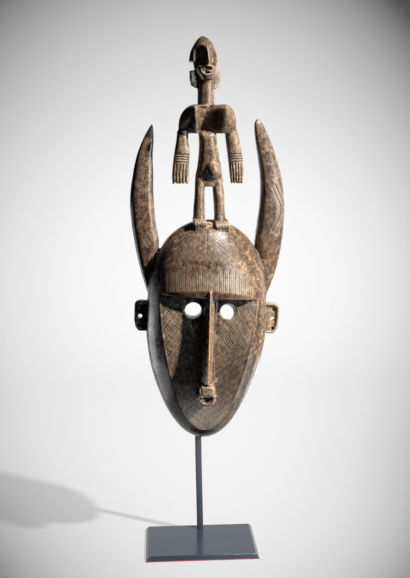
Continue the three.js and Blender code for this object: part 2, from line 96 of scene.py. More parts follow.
# A ball whose rings are set to the given sections: rings[row, point] = (x, y, z).
def loft(name, rings, ends=None):
    steps, sides = rings.shape[0] - 1, rings.shape[1]
    bpy.ops.mesh.primitive_uv_sphere_add(segments=sides, ring_count=steps + 2, radius=1)
    piece = bpy.context.object
    piece.name = name
    sphere = readPoints(piece)
    row = np.rint(np.arccos(np.clip(sphere[:, 2], -1, 1)) / math.pi * (steps + 2)).astype(int)
    point = np.rint(np.arctan2(sphere[:, 1], sphere[:, 0]) / math.tau * sides).astype(int) % sides
    points = rings[np.clip(row - 1, 0, steps), point]
    points[row == 0] = rings[0].mean(axis=0) if ends is None else ends[0]
    points[row == steps + 2] = rings[-1].mean(axis=0) if ends is None else ends[1]
    writePoints(piece, points)
    return normalsOut(piece)


def ball(name, centre, size, tilt=0.0):
    bpy.ops.mesh.primitive_uv_sphere_add(segments=32, ring_count=16, radius=1)
    piece = bpy.context.object
    piece.name = name
    piece.data.transform(Matrix.Translation(centre) @ Matrix.Rotation(tilt, 4, "X") @ Matrix.Diagonal((*size, 1)))
    return piece


def bar(name, centre, radius, length, turn, sides):
    bpy.ops.mesh.primitive_cylinder_add(vertices=sides, radius=radius, depth=length)
    piece = bpy.context.object
    piece.name = name
    piece.data.transform(Matrix.Translation(centre) @ turn)
    return piece


def around(sides):
    return np.arange(sides) / sides * math.tau


def power(value, exponent):
    return np.sign(value) * np.abs(value) ** exponent


def smooth(value, low, high):
    share = np.clip((value - low) / (high - low), 0, 1)
    return share * share * (3 - 2 * share)


def mix(a, b, share):
    return a + (b - a) * share


# Smooth values between stations: the first column is the height, the others are the measures.
def between(stations, height):
    table = np.array(stations, float)
    at = table[:, 0]
    last = len(at) - 1
    after, before = np.minimum(np.arange(last + 1) + 1, last), np.maximum(np.arange(last + 1) - 1, 0)
    slope = (table[after] - table[before]) / (at[after] - at[before])[:, None]
    i = np.clip(np.searchsorted(at, height) - 1, 0, last - 1)
    span = (at[i + 1] - at[i])[:, None]
    u = np.clip((height - at[i])[:, None] / span, 0, 1)
    start = (1 + 2 * u) * (1 - u) ** 2 * table[i] + u * (1 - u) ** 2 * span * slope[i]
    end = u * u * (3 - 2 * u) * table[i + 1] + u * u * (u - 1) * span * slope[i + 1]
    return (start + end).T


# Soft random values from -1 to 1 on a lattice of the given cell size.
def noise(points, size, seed=0):
    cell = points / np.asarray(size, float)
    base = np.floor(cell).astype(np.int64)
    part = cell - base
    part = part * part * (3 - 2 * part)
    total = np.zeros(len(points))
    for corner in range(8):
        step = np.array([corner & 1, corner >> 1 & 1, corner >> 2 & 1])
        key = (base + step) @ np.array([73856093, 19349663, 83492791]) + seed * 9176
        key = (key ^ key >> 13) * 1274126177 & 0x7FFFFFFF
        value = (key ^ key >> 15 & 0xFFFF) % 65536 / 65535
        total += value * np.where(step == 1, part, 1 - part).prod(axis=1)
    return total * 2 - 1


def bell(off, width):
    return np.exp(-(off / width) ** 2)


def stroke(points2d, start, end, width):
    a, b = np.array(start, float), np.array(end, float)
    way = b - a
    share = np.clip(((points2d - a) @ way) / (way @ way), 0, 1)
    return bell(np.linalg.norm(points2d - a - share[:, None] * way, axis=1), width)


place = {"chin": (2, 0, 182), "turn": 0.5, "lean": 2.05}  # degrees; heights start at the chin
toWorld = (Matrix.Translation(place["chin"]) @ Matrix.Rotation(math.radians(place["turn"]), 4, "Z")
           @ Matrix.Rotation(math.radians(place["lean"]), 4, "Y"))

face = {
    "halfWidth": 91.5, "widest": 168, "crown": 172, "bulge": 62, "rimBack": 52, "chinRimBack": 26,
    "sideWall": 13, "crownWall": 15, "chinWall": 18, "cheekBulge": 20, "foreheadBulge": 44,
    "brow": 228, "browFall": 0.035, "browBand": 9.5, "browInset": 4.4, "browLean": 0.24, "panelFoot": 22,
    "panelHalf": 72.5, "panelHollow": 2.5, "panelRound": 2.0, "panelSink": 0.8,
    # Eye: x, height, half width, half height, and how far the hole runs sideways and down.
    "eyes": [(-22.9, 208, 12.5, 11.7, 0, 0), (29.7, 207, 12.5, 11.8, -0.18, 0.3)],
}


def rimDepth(height):
    return mix(face["chinRimBack"], face["rimBack"], smooth(height, 0, 110))


def eggForm(name, side, crown, chin, bulgeAt, extra, sides=160):
    angle = around(sides)
    c, s = np.cos(angle), np.sin(angle)
    x = (face["halfWidth"] - side) * c
    up = (face["crown"] - crown) * np.abs(s) ** 0.606
    down = -(face["widest"] - chin) * np.abs(s) ** 1.333
    rise = np.where(s >= 0, up, down)
    rings = []
    for share in np.linspace(0, 1, 11):
        spread = 1 - 0.035 * (1 - share) ** 2
        back = (rimDepth(face["widest"] + rise) + extra) * (1 - share)
        rings.append(np.stack([x * spread, back, face["widest"] + rise * spread], axis=1))
    for arc in np.radians(np.linspace(0, 89, 41)[1:]):
        height = face["widest"] + rise * math.cos(arc)
        front = -bulgeAt(height) * math.sin(arc) + 0 * x
        rings.append(np.stack([x * math.cos(arc), front, height], axis=1))
    top = (0, face["rimBack"] + extra, face["widest"])
    return loft(name, np.array(rings), (top, rings[-1].mean(axis=0)))


def panelHalfAt(height):
    down = (face["brow"] - height) / (face["brow"] - face["panelFoot"] + 2)
    return face["panelHalf"] * np.sqrt(1 - np.clip(down, 0, 1) ** 1.45)


# Where the front of the egg lies behind a point seen from the front.
def eggFront(x, height):
    x, rise = np.broadcast_arrays(np.asarray(x, float), np.asarray(height, float) - face["widest"])
    low, high = np.full(x.shape, 0.001), np.ones(x.shape)
    for _ in range(24):
        share = (low + high) / 2
        up = (np.maximum(rise, 0) / face["crown"] / share) ** 3.3
        down = (np.maximum(-rise, 0) / face["widest"] / share) ** 1.5
        outside = (x / face["halfWidth"] / share) ** 2 + up + down > 1
        low, high = np.where(outside, share, low), np.where(outside, high, share)
    return -face["bulge"] * np.sqrt(1 - high ** 2)


def browBottom(x):
    return face["brow"] + 0.8 - face["browFall"] * x


def browTop(x):
    return browBottom(x) + face["browBand"] * (1 - (x / face["panelHalf"]) ** 2)


# The flat of the face starts flush with the rim, and ends above in a step under the brow.
def panelTool():
    share = np.linspace(1, -1, 49)
    rings = []
    for height in np.linspace(face["panelFoot"], face["brow"] - 3, 70):
        x = panelHalfAt(height) * share
        edge = eggFront(x[0], height) + face["panelSink"]
        back = edge + face["panelHollow"] * (1 - share ** 2) - face["panelRound"] * (1 - share ** 8)
        rings.append((x, back, height + 0 * x))
    bottom = browBottom(x)
    under = eggFront(x, bottom) + face["browInset"] * (1 - share ** 2) + 0.3
    rings += [(x, back, bottom), (x, under, bottom + 0.01), (x, under - 16 * face["browLean"], bottom + 16)]
    outlines = []
    for x, back, height in rings:
        front = [(x[-1], -95, height[-1]), (x[0], -95, height[0])]
        outlines.append(np.concatenate([front, np.stack([x, back, height], axis=1)]))
    return loft("panelTool", np.array(outlines))


def eyeTool(eye):
    x, height, halfWidth, halfHeight, sideways, down = eye
    angle = around(64)
    rings = []
    for back in np.linspace(-30, 30, 9):
        xs = x + np.cos(angle) * halfWidth + back * sideways
        zs = height + np.sin(angle) * halfHeight - back * down
        rings.append(np.stack([xs, np.full(64, back - 35), zs], axis=1))
    return loft("eyeTool", np.array(rings))


def innerBulge(height):
    high = smooth(height, face["brow"] - 10, face["brow"] + 30)
    return mix(face["cheekBulge"], face["foreheadBulge"], high)


shell = eggForm("shell", 0, 0, 0, lambda height: face["bulge"], 0)
hollow = eggForm("hollow", face["sideWall"], face["crownWall"], face["chinWall"], innerBulge, 2)
cut(shell, hollow, panelTool())
print("face shell", len(shell.data.polygons))


# Pairs are left and right; ridge heights and roots are depths, forward is negative.
nose = {"top": 240, "tip": 105, "ridge": 0, "flank": (-8.2, 15.5), "flankDepth": (17, 17), "foot": (-9.6, 16.5),
        "root": -25, "ridgeAtBrow": -61.5, "ridgeAtTip": -78, "grow": (0.9, 1.03)}
# Lips: height, half width, half height, front. Slit: height, half width, half height, depth.
mouth = {"x": -0.4, "upper": (95.5, 12.2, 9, -77), "edge": (87.6, 14.6, 1.6, -77), "lower": (80.5, 14, 11, -73),
         "slit": (83, 12, 7.4, 5)}


def noseDown(height):
    return (face["brow"] - height) / (face["brow"] - nose["tip"])


def noseRidge(height):
    return mix(nose["ridgeAtBrow"], nose["ridgeAtTip"], noseDown(height))


def noseGrow(height):
    return mix(*nose["grow"], np.clip(noseDown(height), 0, 1))


def noseForm():
    rings = []
    middle, (leftX, rightX), (leftDepth, rightDepth) = nose["ridge"], nose["flank"], nose["flankDepth"]
    for height in np.linspace(nose["tip"], nose["top"], 70):
        ridge, grow = noseRidge(height), noseGrow(height)
        rings.append([(middle + 0.7, ridge, height), (rightX * grow, ridge + rightDepth, height),
                      (nose["foot"][1] * grow, nose["root"], height), (nose["foot"][0] * grow, nose["root"], height),
                      (leftX * grow, ridge + leftDepth, height), (middle - 0.7, ridge, height)])
    return loft("nose", np.array(rings))


def lipForm(name, lip, corner, sides=48):
    height, halfWidth, halfHeight, front = lip
    angle = around(sides)
    rings = []
    for share, full in zip((0, 0.4, 0.72, 0.84, 0.92, 0.97, 1), (1, 1, 1, 0.965, 0.9, 0.8, 0.66)):
        x = mouth["x"] + halfWidth * full * power(np.cos(angle), corner)
        z = height + halfHeight * full * power(np.sin(angle), corner)
        rings.append(np.stack([x, np.full(sides, mix(-26, front, share)), z], axis=1))
    return loft(name, np.array(rings))


fuse(shell, noseForm(), lipForm("upperLip", mouth["upper"], 0.6), lipForm("lipEdge", mouth["edge"], 0.7),
     lipForm("lowerLip", mouth["lower"], 0.9))
slitHeight, slitHalf, slitRise, slitDepth = mouth["slit"]
slit = ball("slit", (mouth["x"], mouth["lower"][3] - 1, slitHeight), (slitHalf, slitDepth, slitRise))
cut(shell, slit, *[eyeTool(eye) for eye in face["eyes"]])
print("nose and mouth")


ears = {"height": 47, "middle": 190, "front": 3, "thickness": 12, "recess": 2.2, "edge": 3.2, "hole": 3.3,
        "pit": 4.5, "spacing": 15, "reach": {-1: 110.3, 1: 112.4}}


def earSlab(name, reach, inner, inset, front, thickness):
    half, outer, bend = ears["height"] / 2 - inset, reach - inset, 7
    corners = [(inner, -half), (outer - bend, -half), (outer - bend * 0.3, -half + bend * 0.9),
               (outer, -half + bend * 2.4), (outer, half - bend), (outer - bend * 0.3, half - bend * 0.3),
               (outer - bend, half), (inner, half)]
    rings = [[(x, y, z) for x, z in corners] for y in (front, front + thickness)]
    return loft(name, np.array(rings, float))


def earForm(side):
    reach = ears["reach"][side]
    ear = earSlab("ear", reach, 84, 0, ears["front"], ears["thickness"])
    floor = ears["front"] + ears["recess"]
    across = Matrix.Rotation(math.pi / 2, 4, "X")
    tools = [earSlab("recess", reach, 60, ears["edge"], ears["front"] - 1, ears["recess"] + 1)]
    tools.append(bar("hole", (reach - 9, floor + 5, -1), ears["hole"], 30, across, 24))
    for way in (-1, 1):
        centre = (reach - 8.2, floor + ears["pit"] / 2 - 1, -1 + way * ears["spacing"])
        tools.append(bar("pit", centre, ears["hole"] * 0.8, ears["pit"] + 2, across, 24))
    cut(ear, *tools)
    ear.data.transform(Matrix.Translation((0, 0, ears["middle"])) @ Matrix.Diagonal((side, 1, 1, 1)))
    return normalsOut(ear)


# Horn stations: height, middle x, middle y, width, depth.
horns = {
    -1: [(222, -84.5, 14, 11, 26), (262, -91.5, 14, 23, 32), (300, -93.6, 13, 37, 35), (335, -99.6, 12, 37, 35),
         (370, -102.6, 11, 35, 33), (404, -101.8, 10, 30.5, 29), (431, -99.8, 10, 24, 23), (454, -95.5, 10, 16.5, 16),
         (470, -92, 11, 7.5, 8), (477, -90.4, 11, 2, 2)],
    1: [(222, 84.5, 14, 12, 26), (262, 91, 14, 26, 32), (300, 90.6, 13, 40, 36), (335, 93, 12, 40.5, 36),
        (370, 93.8, 11, 37, 34), (404, 90.2, 10, 32, 31), (431, 84, 10, 28, 26), (454, 77.5, 10, 24, 21),
        (477, 70.2, 10, 16.5, 14), (487, 67.4, 10, 9.5, 8), (491, 67, 10, 3, 3)],
}


def hornForm(side, sides=56, steps=110):
    stations = horns[side]
    height = mix(stations[0][0], stations[-1][0], np.linspace(0, 1, steps + 1) ** 0.86)
    angle = around(sides)
    z, x, y, width, depth = (column[:, None] for column in between(stations, height))
    reach = 1 + 0.09 * np.maximum(0, np.cos(angle + math.pi / 2 + side * 0.55)) ** 6
    xs = x + width / 2 * power(np.cos(angle), 0.66) * reach
    ys = y + depth / 2 * power(np.sin(angle), 0.66) * reach
    return loft("horn", np.stack([xs, ys, z + 0 * xs], axis=2))


headgear = [earForm(-1), earForm(1), hornForm(-1), hornForm(1)]
print("ears and horns")


# The standing figure is drawn in its own frame, which starts between the feet.
figure = {
    "at": (1.4, -8, 333), "sway": -0.0402, "turn": 4, "headTurn": 6,
    "legs": [(-18.2, 9.3, -14, 7.4), (13.3, 8.8, 11.8, 8.3)],  # ankle, half, hip, half
    "feet": [(-17.8, 9.2, 0.4, -15.5), (15, 10.6, -3.2, -18)],  # x, half, sole, toes
    "torso": [(57, -1.2, 0, 17, 9), (70, -0.9, 0.5, 20, 11.5), (86, 0, -1, 17.6, 12), (101, -0.2, -3, 15.2, 12.5),
              (118, -0.9, -5, 13, 13), (130, -1.1, -5, 12.8, 13), (136, -1, -2, 12.6, 11), (142, -0.9, 3, 12.4, 8),
              (174, -0.8, 4, 12, 4)],
    "neck": [(160, -0.9, 2, 11.5, 10), (176, -0.9, 1, 12, 10.5), (192, -0.4, 0, 12, 11), (218, -0.2, 0, 12.2, 11.5)],
    "armHeights": [138, 126, 110, 94, 76, 61.5],
    "armMiddles": [-2, -3.5, -4.5, -5, -5, -4.6],
    "armHalfDepths": [9.5, 8.5, 7.5, 6, 4.6, 3.4],
    "arms": {-1: ([45, 46.8, 50.2, 53.2, 55.6, 55.9], [28.8, 29.4, 28.2, 29.3, 31, 32]),
             1: ([44.2, 45.6, 48.2, 50.5, 50.6, 49.6], [25.4, 25.6, 27, 28.3, 29.5, 30.6])},
    "ringCuts": (103.6, 100.0, 96.4, 92.8), "ringBands": (101.8, 98.2, 94.6), "tipRings": (136.5, 139.5),
    "shoulders": {-1: (45.4, 2.8), 1: (44.6, 4.3)},  # half width, squareness
    "breastHeight": 134, "shoulderHeight": 176,
    # Bust: share of the height, how far the ridges stand out, and the dip between them.
    "bust": [(0, 17, 4), (0.25, 23.5, 6), (0.5, 28.5, 8), (0.75, 30.5, 9), (0.86, 30.5, 6), (0.95, 27, -2),
             (1, 20, -8)],
    "ridgeLeft": (-17.3, -21.5), "ridgeRight": (19.5, 26), "valley": (-14.3, -3.5),
    "topFall": {"dip": 6, "width": 9, "forward": 0.14},
    "belly": ((4.5, -8.5, 82), (11.5, 10, 16), 0.15),  # middle, size, tilt
}
figureToMask = (Matrix.Translation(figure["at"]) @ Matrix.Rotation(-math.radians(place["lean"]), 4, "Y")
                @ Matrix(((1, 0, figure["sway"], 0), (0, 1, 0, 0), (0, 0, 1, 0), (0, 0, 0, 1)))
                @ Matrix.Rotation(math.radians(figure["turn"]), 4, "Z"))


# Limb stations: height, middle x, middle y, half width, half depth.
def limb(name, stations, corner, sides=40):
    height = np.linspace(stations[0][0], stations[-1][0], 61)
    angle = around(sides)
    z, x, y, half, depth = (column[:, None] for column in between(stations, height))
    xs = x + half * power(np.cos(angle), corner)
    ys = y + depth * power(np.sin(angle), corner)
    return loft(name, np.stack([xs, ys, z + 0 * xs], axis=2))


def legForm(leg):
    ankle, ankleHalf, hip, hipHalf = leg
    stations = [(2, ankle, 0, ankleHalf, 9), (22, ankle * 0.97, -1, ankleHalf - 0.8, 8.5),
                (44, (ankle + hip) / 2, -1.5, hipHalf, 9), (68, hip, 0, hipHalf, 9.5)]
    return limb("leg", stations, 0.85)


def footForm(foot):
    x, half, sole, toes = foot
    profile = [(9, 12), (0, 12.5), (-5, 11.5), (toes + 2, 6.4), (toes, 4.6)]
    angle = around(32)
    rings = []
    for y in np.linspace(9, toes, 24):
        height = np.interp(-y, [-p[0] for p in profile], [p[1] for p in profile])
        zs = sole + height / 2 + height / 2 * power(np.sin(angle), 0.35)
        rings.append(np.stack([x + half * power(np.cos(angle), 0.35), np.full(32, y), zs], axis=1))
    body = loft("foot", np.array(rings))
    tools = []
    for number in range(1, 5):
        at = x - half + 2 * half * number / 5
        tools.append(bar("toeCut", (at, toes + 5, sole + 9), 1.0, 13, Matrix.Rotation(0.5 - math.pi / 2, 4, "X"), 4))
        tools.append(bar("toeCut", (at, toes, sole + 3), 1.1, 10, Matrix.Identity(4), 4))
    cut(body, *tools)
    front, back, low, high = toes + 1.4, 5, -13, sole + 0.8
    bpy.ops.mesh.primitive_cube_add(size=1)
    riser = bpy.context.object
    riser.data.transform(Matrix.Translation((x + 0.8, (front + back) / 2, (low + high) / 2))
                         @ Matrix.Diagonal((half * 1.9, back - front, high - low, 1)))
    return [body, riser]


def bustForm():
    rings = []
    low, high, fall = figure["breastHeight"], figure["shoulderHeight"], figure["topFall"]
    for t in np.linspace(0, 1, 61):
        height = mix(low, high, 1 - (1 - t) ** 1.5)
        up = (height - low) / (high + 1.5 - low)
        trim = mix(1, 0.94, t * t)
        left, right = (side * half * (1 - up ** square) ** (1 / square) * trim
                       for side, (half, square) in figure["shoulders"].items())
        crest, dip = between(figure["bust"], np.array([up]))[1:, 0]
        leftRidge = max(mix(*figure["ridgeLeft"], t), 0.8 * left)
        rightRidge = min(mix(*figure["ridgeRight"], t), 0.85 * right)
        middle = mix(*figure["valley"], min(t / 0.7, 1))
        # One slice from the left side over both ridges to the right side, then round the back.
        front = [(left, 1), (mix(left, leftRidge, 0.3), -0.42 * crest), (mix(left, leftRidge, 0.65), -0.83 * crest),
                 (leftRidge, -crest), (mix(leftRidge, middle, 0.5), -mix(dip, crest, 0.62)), (middle, -dip),
                 (mix(middle, rightRidge, 0.5), -mix(dip, crest, 0.54)), (rightRidge, -crest),
                 (mix(rightRidge, right, 0.4), -0.87 * crest), (mix(rightRidge, right, 0.8), -0.38 * crest)]
        outline = front + [(right, 1), (right * 0.78, 9), (0, 12), (left * 0.78, 9)]
        corners = np.array(outline + outline[:1])
        spaced = np.linspace(0, len(outline), 6 * len(outline), endpoint=False)
        cross = np.stack([np.interp(spaced, np.arange(len(corners)), values) for values in corners.T], axis=1)
        for _ in range(8):
            cross = (np.roll(cross, 1, axis=0) + 2 * cross + np.roll(cross, -1, axis=0)) / 4
        tuck = 3 * (1 - math.sqrt(1 - max(1 - t / 0.07, 0) ** 2))
        cross *= 1 - tuck / 45
        forward = np.maximum(-6 - cross[:, 1], 0)
        fallen = fall["dip"] * bell(cross[:, 0] - middle, fall["width"]) + fall["forward"] * forward
        rings.append(np.column_stack([cross, height - smooth(t, 0.55, 1) * fallen]))
    return loft("bust", np.array(rings))


def armForm(side):
    outer, inner = (np.array(values) for values in figure["arms"][side])
    columns = zip(figure["armHeights"], side * (outer + inner) / 2, figure["armMiddles"], (outer - inner) / 2,
                  figure["armHalfDepths"])
    arm = limb("arm", sorted(columns), 0.75)
    tools = []
    for number in range(1, 5):
        x = side * mix(inner[-1], outer[-1], number / 5)
        tools.append(bar("fingerGap", (x, -3.5, 63.5), 1.6, 20,
                         Matrix.Diagonal((0.95, 1, 5.5, 1)) @ Matrix.Rotation(math.pi / 2, 4, "X"), 3))
    return cut(arm, *tools)


# Hair and skull are limb stations. Cheek: the cut beside the nose from above, and how far back it goes at
# each height. Mouth and lips: middle and size. Lock: the outline beside the neck, across and up.
head = {
    "hair": [(235, -1.6, 3, 21, 19), (243, -1.6, 2, 20, 20.5), (252, -1.6, 1, 17.3, 18.5), (262, -1.2, 0.5, 11.8, 13.5),
             (268, -1.6, 0, 6.4, 7.5), (271, -1.8, 0, 1.6, 2)],
    "skull": [(210, 0, -7, 8, 9), (218, -0.4, -5, 13.4, 14), (228, -0.8, -3, 16.2, 17), (240, -0.8, -3, 16.6, 17.5),
              (254, -1.2, -3, 13, 16), (264, -1.4, -2, 7, 9)],
    "cheek": [(0.5, -23), (3, -18.2), (7, -14.6), (11, -12.4), (15, -9.8), (24, -9), (24, -40), (0.5, -40)],
    "cheekBack": [(228, 0), (231, 1), (242, 1.2), (251, 1), (255.5, 0.1), (258.5, -3.2)],
    "mouth": ((-3, -24, 223.5), (11, 9.5, 8.5)),
    "lips": [((1, -13.5, 228.2), (7.2, 7.8, 2)), ((2, -13, 221), (5.8, 7.8, 1.5))],
    "lock": [(7, 196.5), (16, 198), (20.5, 202), (22.3, 211), (22, 223), (7, 223.5)],
}


def headForms():
    skull = fuse(limb("skull", head["skull"], 0.9, 48), limb("hair", head["hair"], 1, 48))
    for side in (-1, 1):
        rings = [[(side * x - 0.3, y + (back if y > -30 else 0), z) for x, y in head["cheek"]]
                 for z, back in head["cheekBack"]]
        cut(skull, loft("cheek", np.array(rings, float)))
    rings = []
    for t in np.linspace(0, 1, 24):
        ridge, half, z = mix(-25.5, -18.5, t), mix(4.6, 1.6, t), mix(233, 258, t)
        rings.append([(-0.7, ridge, z), (0.7, ridge, z), (half, -7, z), (-half, -7, z)])
    cut(skull, ball("smallMouth", *head["mouth"]))
    parts = [skull, loft("smallNose", np.array(rings)), *[ball("smallLip", *lip) for lip in head["lips"]]]
    for side in (-1, 1):
        rings = [[(side * x, y, z) for x, z in head["lock"]] for y in (-1, 8)]
        parts.append(loft("sideLock", np.array(rings, float)))
    for part in parts:
        part.data.transform(Matrix.Rotation(math.radians(figure["headTurn"]), 4, "Z"))
    return parts


figureParts = [limb("torso", figure["torso"], 0.75), limb("neck", figure["neck"], 0.8), bustForm(), *headForms(),
               ball("belly", *figure["belly"])]
figureParts += [legForm(leg) for leg in figure["legs"]] + [armForm(-1), armForm(1)]
for foot in figure["feet"]:
    figureParts += footForm(foot)
for part in figureParts:
    part.data.transform(figureToMask)
print("figure", len(figureParts), "forms")


# Grain is the remesh's cell. Waves of the skin and gouges of the hollow: size, seed, height.
carving = {
    "grain": 0.9, "triangles": 190000, "blurs": 10,
    "skin": [(24, 13, 0.30), (9, 14, 0.14), (3.2, 15, 0.03), ((1.8, 1.8, 22), 16, 0.03)],
    "gouges": [((9, 9, 16), 11, 0.9), (5, 12, 0.25)],
}

mask = shell
mask.name = "carvedMask"
selectOnly(mask, *headgear, *figureParts)
bpy.ops.object.join()
applyModifier(mask, "REMESH", mode="VOXEL", voxel_size=carving["grain"], adaptivity=0)
applyModifier(mask, "SMOOTH", factor=0.5, iterations=2)
print("carving", len(mask.data.polygons), "faces")


def neighbourMean(points, edges, count):
    at, other = np.concatenate([edges, edges[:, ::-1]]).T
    sums = [np.bincount(at, points[other, axis], len(points)) for axis in range(3)]
    return np.stack(sums, axis=1) / np.maximum(count, 1)[:, None]


def within(value, low, high):
    return smooth(value, low, low + 0.7) * smooth(high - value, 0, 0.7)


# Families of hatching: mirrored at the middle or not, the way across the lines, wander, pitch and depth.
hatchLines = {
    "rising": (True, (-0.64, 0.77), 1, 3.4, 0.16), "falling": (True, (0.85, 0.53), 1, 3.3, 0.14),
    "strokes": (False, (1, 0.03), 0.5, 3.05, 0.36), "weaveUp": (False, (0.72, 0.69), 1, 2.5, 0.1),
    "weaveDown": (False, (0.66, -0.75), 1, 2.5, 0.1),
}
# Marks on a horn: side, the way across the lines, spans across and along, pitch and depth.
hornMarks = {
    "hornFall": (1, (0.8807, 0.4737), [(264.6, 276.8, 264, 304)], 2.7, 0.75),
    "hornRise": (1, (0.8777, -0.4793), [(-76.5, -64.5, 330, 368)], 2.7, 0.75),
    "hornLeft": (-1, (0.8297, 0.558), [(99.5, 113, 303, 319), (88, 97, 297, 312)], 2.4, 0.6),
}
hatchDepth = {name: row[-1] for name, row in (*hatchLines.items(), *hornMarks.items())}
# Single strokes in the mask's frame: start and end across and up, width, depth.
singleStrokes = [
    ((-46, 283), (-2, 281), 0.6, 0.22), ((-46, 279.5), (-8, 278), 0.5, 0.16), ((-5.5, 284), (-6, 326), 0.6, 0.2),
    ((-46, 283), (-43, 300), 0.6, 0.2), ((-43, 300), (-35, 316), 0.6, 0.16), ((8, 309), (25, 296), 0.6, 0.2),
    ((11, 312), (29, 298), 0.6, 0.2), ((14, 315), (33, 300), 0.6, 0.18), ((5, 306), (20, 294), 0.6, 0.18),
]


# Hatching is kept as a running line number and a strength, so that the finish can follow the same lines.
def hatchings(p, n, offFigure):
    x, y, z = p.T
    found = {}
    for name, (side, (run, rise), spans, pitch, _) in hornMarks.items():
        across, along = run * x + rise * z, run * z - rise * x
        kept = sum(within(across, *span[:2]) * within(along, *span[2:]) for span in spans)
        found[name] = (across / pitch, kept * (side * x > 72) * smooth(-n[:, 1], 0.05, 0.2))
    sideX = np.abs(x)
    wander = 0.8 * noise(p, 20, 3) + 0.35 * noise(p, 6, 4)
    panel = smooth(-n[:, 1], 0.45, 0.7) * smooth(panelHalfAt(z) - sideX, 0.5, 3)
    panel = panel * smooth(z, 26, 40) * smooth(browBottom(x) - z, 0, 2)
    panel = panel * (np.abs(y - eggFront(x, z) - 4) < 16) * (y > -47) * (y < -24)
    panel = panel * (0.75 + 0.35 * noise(p, 14, 8))
    upper = smooth(z, 142, 166)
    dome = smooth(-y, 6, 16) * smooth(z - browTop(x), 0.6, 1.4) * offFigure
    tops = 270 + 4.5 * noise(np.stack([x, 0 * x, 0 * x], axis=1), 2.4, 5) + 3 * noise(p, 16, 6)
    lunette = np.hypot((x + 4) / 44, (z - 281) / 42)
    woven = dome * smooth(1 - lunette, 0, 0.04) * smooth(z, 282, 284) * 0.5
    strength = {
        "rising": panel * np.where(x < 0, 1, mix(1, 0.35, upper)),
        "falling": panel * np.where(x < 0, smooth(z, 90, 150), upper),
        "strokes": 0.62 * dome * smooth(tops - z, 0, 9) * smooth(68 - sideX, 0, 5),
        "weaveUp": woven, "weaveDown": woven,
    }
    for name, (mirrored, (run, rise), drift, pitch, _) in hatchLines.items():
        across = run * (sideX if mirrored else x) + rise * z + drift * wander
        found[name] = (across / pitch, strength[name])
    return found


def lineAt(number):
    strength = 0.8 + 0.35 * np.sin(np.floor(number) * 2.4)
    return strength * bell(number - np.floor(number) - 0.5, 0.2)


def singleDepth(p, offFigure):
    depth = np.zeros(len(p))
    dome = (p[:, 1] < -12) & (p[:, 2] > 241) & offFigure
    for start, end, width, deep in singleStrokes:
        depth = np.maximum(depth, deep * stroke(p[:, [0, 2]], start, end, width) * dome)
    return depth


# Cuts and raised bands on the figure: rings on wrists, ankles and breast tips, and the fingers.
def figureDetail(f, n):
    x, y, z = f.T
    cuts, bands = np.zeros(len(f)), np.zeros(len(f))
    for side in (-1, 1):
        arm = (x * side > 24) & (x * side < 62)
        level = z - 0.05 * (x * side - 38) - (0.8 if side > 0 else 0)
        for height in figure["ringCuts"]:
            cuts = np.maximum(cuts, 0.5 * bell(level - height, 0.65) * arm)
        for height in figure["ringBands"]:
            bands = np.maximum(bands, 0.45 * bell(level - height, 1.0) * arm)
        outer, inner = (np.interp(z, figure["armHeights"][::-1], values[::-1]) for values in figure["arms"][side])
        fingers = smooth(91.5 - z, 0, 2) * smooth(z, 58, 60) * arm * smooth(np.abs(n[:, 1]), 0.3, 0.6)
        deep = 0.9 + 0.9 * smooth(80 - z, 0, 12)
        for number in range(1, 5):
            off = x * side - mix(inner, outer, number / 5)
            cuts = np.maximum(cuts, deep * bell(off, 0.6) * fingers)
    ankles = (z > 8) & (z < 22) & (np.abs(x) < 32) & (y > -14)
    cuts = np.maximum(cuts, 0.3 * bell(z - 15.5, 0.7) * ankles)
    tips = (z > 130) & (z < 144) & (y < -12)
    for height in figure["tipRings"]:
        cuts = np.maximum(cuts, 0.28 * bell(z - height, 0.7) * tips)
    return cuts, bands


points, normals = readPoints(mask), readVectors(mask.data.vertex_normals, "vector")
edges = np.empty(len(mask.data.edges) * 2, np.int32)
mask.data.edges.foreach_get("vertices", edges)
edges = edges.reshape(-1, 2)
count = np.bincount(edges.ravel(), minlength=len(points))
blurred = points
for _ in range(carving["blurs"]):
    blurred = neighbourMean(blurred, edges, count)
bulge = ((points - blurred) * normals).sum(axis=1)
toFigure = np.array(figureToMask.inverted())
inFigure = points @ toFigure[:3, :3].T + toFigure[:3, 3]
isFigure = smooth(inFigure[:, 2], -6, 2) * (np.abs(inFigure[:, 0]) < 62)
offFigure = inFigure[:, 2] < -3
hatched = hatchings(points, normals, offFigure)
incised = singleDepth(points, offFigure)
relief = incised.copy()
for name, (number, strength) in hatched.items():
    relief = np.maximum(relief, hatchDepth[name] * strength * lineAt(number))
cuts, bands = (detail * isFigure for detail in figureDetail(inFigure, normals))
inside = smooth(normals[:, 1], 0.1, 0.5) * (np.abs(points[:, 0]) < 80) * (points[:, 1] > -45) * (points[:, 2] < 330)
skin, gouges = (sum(height * noise(points, size, seed) for size, seed, height in carving[name])
                for name in ("skin", "gouges"))
lift = skin * mix(1, 0.45, isFigure) + inside * gouges + bands - cuts - relief
writePoints(mask, points + normals * lift[:, None])
print("relief")


def addField(piece, name, values):
    layer = piece.data.attributes.new(name, "FLOAT", "POINT")
    layer.data.foreach_set("value", np.asarray(values, np.float32))


